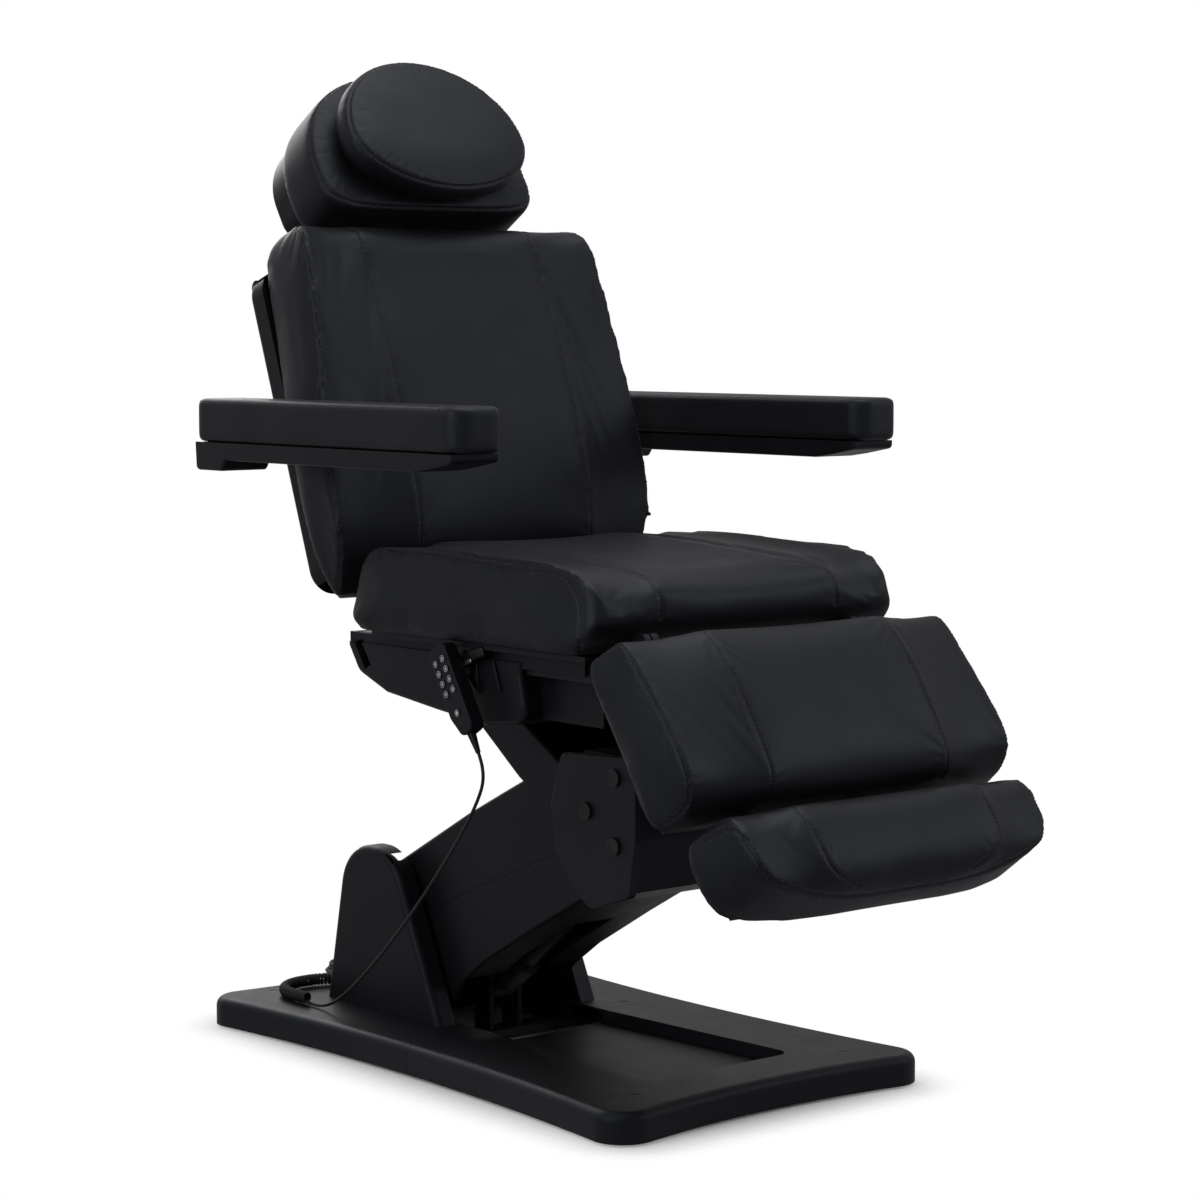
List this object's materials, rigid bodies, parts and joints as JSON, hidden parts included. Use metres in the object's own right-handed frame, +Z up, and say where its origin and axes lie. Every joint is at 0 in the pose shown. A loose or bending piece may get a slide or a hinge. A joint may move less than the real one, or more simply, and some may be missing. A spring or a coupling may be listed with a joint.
{
  "type": "podiatry chair",
  "caption": "Powered podiatry treatment chair with panelled cushions, headrest pillow, armrests, hinged legrest, sliding footrest and handset on a folding two-arm lift.",
  "frame": {"origin": "on the floor, at the middle of the chair's footprint without its cords", "axes": "+X to the sitter's left, -Y the way the sitter faces, +Z up"},
  "size_m": [0.8656, 1.5032, 1.5455],
  "materials": {
    "leatherette": "satin grained leatherette",
    "black_plastic": "satin moulded",
    "painted_steel": "satin powder coat",
    "black_fittings": "black oxide",
    "rubber": "matte",
    "bright_steel": "ground"
  },
  "bodies": {
    "base": {"base_frame": "painted_steel", "base_cover_front": "black_plastic", "base_cover_rear": "black_plastic", "base_screws": "black_fittings", "levelling_feet": "rubber", "stand_cover_right": "black_plastic", "stand_cover_left": "black_plastic", "stand_rear_panel": "black_plastic", "control_box": "black_plastic", "lower_pivot_shaft": "bright_steel", "cord_fittings": "rubber", "mains_cord": "rubber", "mains_cord_coil": "rubber", "mains_plug": "rubber", "handset_cord": "rubber", "handset_cord_curl": "rubber"},
    "lower_arm": {"lower_arm_frame": "painted_steel", "lower_arm_upper_shell": "black_plastic", "lower_arm_lower_shell": "black_plastic"},
    "knuckle": {"knuckle_plate_right": "painted_steel", "knuckle_plate_left": "painted_steel", "knuckle_bolts": "black_fittings", "knuckle_front_cover": "black_plastic"},
    "upper_arm": {"upper_arm_frame": "painted_steel", "upper_arm_shell": "black_plastic"},
    "lift_motor": {"lift_motor": "black_fittings"},
    "lift_rod": {"lift_rod": "bright_steel"},
    "seat": {"seat_frame": "painted_steel", "seat_skirt": "black_plastic", "seat_cushion": "leatherette", "handset_hook": "black_plastic", "handset_front_shell": "black_plastic", "handset_back_shell": "black_plastic", "backrest_motor": "black_fittings", "legrest_motor": "black_fittings"},
    "backrest_rod": {"backrest_rod": "bright_steel"},
    "legrest_rod": {"legrest_rod": "bright_steel"},
    "backrest": {"backrest_frame": "painted_steel", "backrest_shell": "black_plastic", "backrest_cushion": "leatherette"},
    "headrest": {"headrest_frame": "black_plastic", "headrest_cushion": "leatherette", "head_pillow": "leatherette"},
    "armrest_right": {"armrest_tray_right": "black_plastic", "armrest_pad_right": "leatherette"},
    "armrest_left": {"armrest_tray_left": "black_plastic", "armrest_pad_left": "leatherette"},
    "legrest": {"legrest_frame": "painted_steel", "legrest_cushion": "leatherette"},
    "footrest": {"footrest_frame": "painted_steel", "footrest_cushion": "leatherette"},
    "handset_button_1": {"handset_button_1": "rubber"},
    "handset_button_2": {"handset_button_2": "rubber"},
    "handset_button_3": {"handset_button_3": "rubber"},
    "handset_button_4": {"handset_button_4": "rubber"},
    "handset_button_5": {"handset_button_5": "rubber"},
    "handset_button_6": {"handset_button_6": "rubber"},
    "handset_button_7": {"handset_button_7": "rubber"},
    "handset_button_8": {"handset_button_8": "rubber"},
    "handset_button_9": {"handset_button_9": "rubber"}
  },
  "joints": [
    {"name": "lift", "type": "slide", "parent": "base", "child": "seat", "axis": [0, 0, 1], "range_m": [-0.12, 0.1], "deforming": ["handset_cord"]},
    {"name": "lower_arm_turn", "type": "hinge", "parent": "base", "child": "lower_arm", "pos_m": [0, 0.395, 0.22], "axis": [1, 0, 0], "range_deg": [-7, 11]},
    {"name": "knuckle_turn", "type": "hinge", "parent": "lower_arm", "child": "knuckle", "pos_m": [0, -0.202, 0.383], "axis": [1, 0, 0], "range_deg": [-11, 7]},
    {"name": "upper_arm_turn", "type": "hinge", "parent": "seat", "child": "upper_arm", "pos_m": [0, 0.19, 0.6], "axis": [1, 0, 0], "range_deg": [-10, 6.5]},
    {"name": "lift_motor_turn", "type": "hinge", "parent": "base", "child": "lift_motor", "pos_m": [0, 0.27, 0.082], "axis": [1, 0, 0], "range_deg": [-8, 12]},
    {"name": "lift_rod_slide", "type": "slide", "parent": "lift_motor", "child": "lift_rod", "axis": [0, -0.7809, 0.6247], "range_m": [-0.036, 0.024]},
    {"name": "backrest_recline", "type": "hinge", "parent": "seat", "child": "backrest", "pos_m": [0, 0.3, 0.69], "axis": [-1, 0, 0], "range_deg": [0, 62]},
    {"name": "backrest_rod_slide", "type": "slide", "parent": "seat", "child": "backrest_rod", "axis": [0, 1, 0], "range_m": [-0.1, 0.002]},
    {"name": "legrest_raise", "type": "hinge", "parent": "seat", "child": "legrest", "pos_m": [0, -0.322, 0.69], "axis": [-1, 0, 0], "range_deg": [-20, 56]},
    {"name": "legrest_rod_slide", "type": "slide", "parent": "seat", "child": "legrest_rod", "axis": [0, 1, 0], "range_m": [-0.082, 0.032]},
    {"name": "footrest_slide", "type": "slide", "parent": "legrest", "child": "footrest", "axis": [0, -0.5563, -0.831], "range_m": [0, 0.15]},
    {"name": "headrest_tilt", "type": "hinge", "parent": "backrest", "child": "headrest", "pos_m": [0, 0.527, 1.236], "axis": [-1, 0, 0], "range_deg": [0, 30]},
    {"name": "armrest_right_lift", "type": "hinge", "parent": "backrest", "child": "armrest_right", "pos_m": [-0.385, 0.418, 0.928], "axis": [-1, 0, 0], "range_deg": [-60, 70]},
    {"name": "armrest_left_lift", "type": "hinge", "parent": "backrest", "child": "armrest_left", "pos_m": [0.385, 0.418, 0.928], "axis": [-1, 0, 0], "range_deg": [-60, 70]},
    {"name": "handset_button_1_press", "type": "slide", "parent": "seat", "child": "handset_button_1", "axis": [1, 0, 0], "range_m": [0, 0.001], "stiffness_N_per_m": 400, "springref_m": -0.0005},
    {"name": "handset_button_2_press", "type": "slide", "parent": "seat", "child": "handset_button_2", "axis": [1, 0, 0], "range_m": [0, 0.001], "stiffness_N_per_m": 400, "springref_m": -0.0005},
    {"name": "handset_button_3_press", "type": "slide", "parent": "seat", "child": "handset_button_3", "axis": [1, 0, 0], "range_m": [0, 0.001], "stiffness_N_per_m": 400, "springref_m": -0.0005},
    {"name": "handset_button_4_press", "type": "slide", "parent": "seat", "child": "handset_button_4", "axis": [1, 0, 0], "range_m": [0, 0.001], "stiffness_N_per_m": 400, "springref_m": -0.0005},
    {"name": "handset_button_5_press", "type": "slide", "parent": "seat", "child": "handset_button_5", "axis": [1, 0, 0], "range_m": [0, 0.001], "stiffness_N_per_m": 400, "springref_m": -0.0005},
    {"name": "handset_button_6_press", "type": "slide", "parent": "seat", "child": "handset_button_6", "axis": [1, 0, 0], "range_m": [0, 0.001], "stiffness_N_per_m": 400, "springref_m": -0.0005},
    {"name": "handset_button_7_press", "type": "slide", "parent": "seat", "child": "handset_button_7", "axis": [1, 0, 0], "range_m": [0, 0.001], "stiffness_N_per_m": 400, "springref_m": -0.0005},
    {"name": "handset_button_8_press", "type": "slide", "parent": "seat", "child": "handset_button_8", "axis": [1, 0, 0], "range_m": [0, 0.001], "stiffness_N_per_m": 400, "springref_m": -0.0005},
    {"name": "handset_button_9_press", "type": "slide", "parent": "seat", "child": "handset_button_9", "axis": [1, 0, 0], "range_m": [0, 0.001], "stiffness_N_per_m": 400, "springref_m": -0.0005}
  ],
  "couplings": [
    {"joint": "lower_arm_turn", "follows": "lift", "rad_per_m": -1.1023},
    {"joint": "knuckle_turn", "follows": "lift", "rad_per_m": 1.1023},
    {"joint": "upper_arm_turn", "follows": "lift", "rad_per_m": 0.9957},
    {"joint": "lift_motor_turn", "follows": "lift", "rad_per_m": -1.16},
    {"joint": "lift_rod_slide", "follows": "lift", "ratio": 0.204},
    {"joint": "backrest_rod_slide", "follows": "backrest_recline", "m_per_rad": -0.0709},
    {"joint": "legrest_rod_slide", "follows": "legrest_raise", "m_per_rad": -0.0715}
  ]
}
